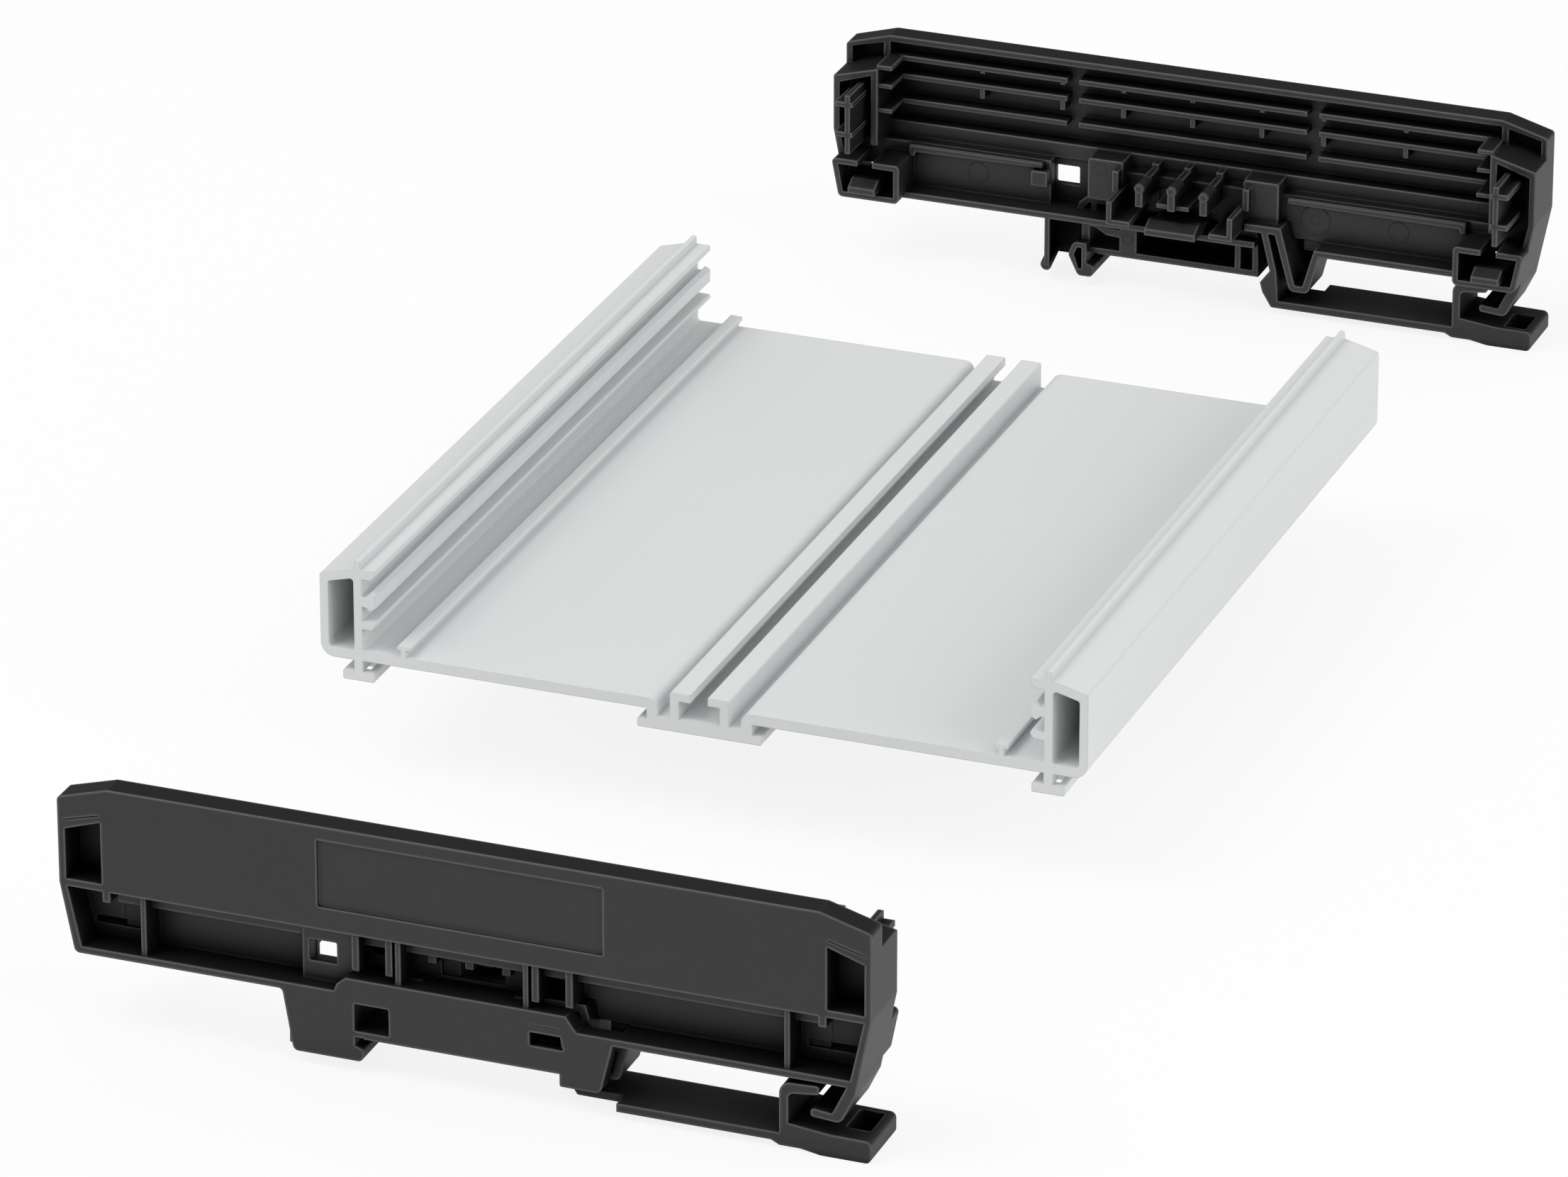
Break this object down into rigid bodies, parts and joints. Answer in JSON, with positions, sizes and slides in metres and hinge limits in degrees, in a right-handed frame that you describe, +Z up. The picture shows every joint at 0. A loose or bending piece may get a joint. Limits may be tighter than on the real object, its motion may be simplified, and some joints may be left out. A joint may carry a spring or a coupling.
{
  "type": "din rail enclosure",
  "caption": "Open tray enclosure for a circuit board: an extruded base with hollow sides and board ribs, closed by end covers that click on that hook and latch onto a 35 mm rail.",
  "frame": {"origin": "on the standing plane, under the middle of the taken-apart set", "axes": "+X across the base, +Y along the base from the front cover to the rear cover, +Z up"},
  "size_m": [0.1396, 0.362, 0.0427],
  "materials": {
    "grey_plastic": "satin, extruded",
    "black_plastic": "fine moulded texture"
  },
  "bodies": {
    "base": {"base_profile": "grey_plastic"},
    "front_end": {"front_cover": "black_plastic"},
    "rear_end": {"rear_cover": "black_plastic"}
  },
  "joints": [
    {"name": "front_push_on", "type": "slide", "parent": "base", "child": "front_end", "axis": [0, 1, 0], "range_m": [0, 0.092]},
    {"name": "rear_push_on", "type": "slide", "parent": "base", "child": "rear_end", "axis": [0, -1, 0], "range_m": [0, 0.092]}
  ]
}
